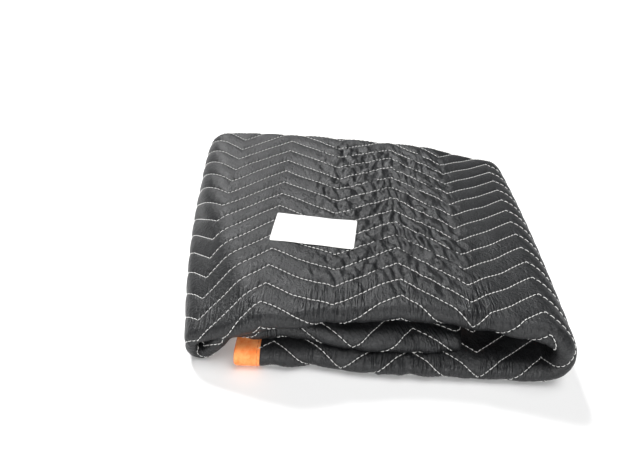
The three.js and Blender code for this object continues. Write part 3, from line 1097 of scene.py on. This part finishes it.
# The end bindings run between the side bindings, which reach a little past the pad's ends
END_START = BINDING_WIDTH + 0.5
SIDE_STEPS = spread([(TAPE_STEP, 0), (PAD_WIDTH - TAPE_STEP, TAPE_STEP)])
SIDE_PLACES = np.concatenate([[-TAPE_OVERHANG], SIDE_STEPS, [PAD_WIDTH + TAPE_OVERHANG]])
END_CUTS = [place for turn in turn_places() for place in turn] + [PAD_LENGTH - END_START]
END_PLACES = spread([(END_START, 0)] + [(place, TAPE_STEP) for place in END_CUTS])
BINDINGS = {
    "binding_outer_end": (END_PLACES, lambda along, inwards: (inwards, along)),
    "binding_inner_end": (END_PLACES, lambda along, inwards: (PAD_WIDTH - inwards, along)),
    "binding_side_lower": (SIDE_PLACES, lambda along, inwards: (along, inwards)),
    "binding_side_upper": (SIDE_PLACES, lambda along, inwards: (along, PAD_LENGTH - inwards)),
}
for node_name, (places, place) in BINDINGS.items():
    tape = belongs(make_binding(node_name + "_tape", places, place, tape_finish))
    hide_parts(node_name)
    stitches = make_binding_stitches(node_name + "_stitches", places, place, orange_thread)
    belongs(stitches)

label = belongs(make_label(label_finish))
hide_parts("label")


# Floor, light and camera

FLOOR_HALF_WIDTH_M = 6


def make_floor():
    mesh = bpy.data.meshes.new("floor")
    bm = bmesh.new()
    bmesh.ops.create_grid(bm, x_segments=1, y_segments=1, size=FLOOR_HALF_WIDTH_M)
    bm.to_mesh(mesh)
    bm.free()
    material, _, shader = new_material("pale_floor")
    shader.inputs["Base Color"].default_value = (0.88, 0.88, 0.88, 1)
    shader.inputs["Roughness"].default_value = 0.6
    floor = show(mesh, material)


def soft_light(name, comes_from, width, power):
    """A far, even light of some angular width in degrees."""
    light = bpy.data.lights.new(name, "SUN")
    light.angle = math.radians(width)
    light.energy = power
    lamp = bpy.data.objects.new(name, light)
    lamp.location = comes_from
    lamp.rotation_euler = Vector(comes_from).to_track_quat("Z", "Y").to_euler()
    bpy.context.scene.collection.objects.link(lamp)


def make_world(strength):
    """A little light from all round. The camera sees it as plain white behind the floor."""
    world = bpy.data.worlds.new("studio")
    bpy.context.scene.world = world
    world.use_nodes = True
    tree = world.node_tree
    background = tree.nodes["Background"]
    background.inputs["Color"].default_value = (1, 1, 1, 1)
    seen = tree.nodes.new("ShaderNodeLightPath").outputs["Is Camera Ray"]
    tree.links.new(maths(tree, "MAXIMUM", seen, strength), background.inputs["Strength"])


# The photo's camera: its place in millimetres, before SHIFT, and the way it looks
FRAME_WIDTH_PX = 631
FOCAL_PX = 516.77
SENSOR = 36
CAMERA_PLACE = (-34.98, -682.81, 615.62)
CAMERA_DOWN = math.radians(40.39)
CAMERA_YAW = math.radians(-2.66)
CAMERA_ROLL = math.radians(-1.32)


def make_camera():
    data = bpy.data.cameras.new("camera")
    data.sensor_width = SENSOR
    data.lens = FOCAL_PX / FRAME_WIDTH_PX * SENSOR
    camera = bpy.data.objects.new("camera", data)
    bpy.context.scene.collection.objects.link(camera)
    forward = Vector((
        math.sin(CAMERA_YAW) * math.cos(CAMERA_DOWN),
        math.cos(CAMERA_YAW) * math.cos(CAMERA_DOWN),
        -math.sin(CAMERA_DOWN),
    ))
    level = Vector((math.cos(CAMERA_YAW), -math.sin(CAMERA_YAW), 0))
    down = forward.cross(level)
    right = level * math.cos(CAMERA_ROLL) + down * math.sin(CAMERA_ROLL)
    below = down * math.cos(CAMERA_ROLL) - level * math.sin(CAMERA_ROLL)
    turn = Matrix((right, -below, -forward)).transposed()
    place = Vector((np.array(CAMERA_PLACE) + SHIFT) * MM)
    camera.matrix_world = Matrix.Translation(place) @ turn.to_4x4()
    bpy.context.scene.camera = camera


def set_tones():
    """The photo's plain, slightly hard tones."""
    view = bpy.context.scene.view_settings
    view.view_transform = "Standard"
    view.exposure = 0.24
    view.gamma = 0.9


make_floor()
make_world(strength=0.07)
soft_light("key", comes_from=(-0.48, 0.93, 1.0), width=14, power=2.8)
soft_light("overhead", comes_from=(0.25, 0.0, 1.0), width=40, power=1.6)
soft_light("front", comes_from=(-0.1, -1.0, 0.5), width=12, power=2.1)
make_camera()
set_tones()
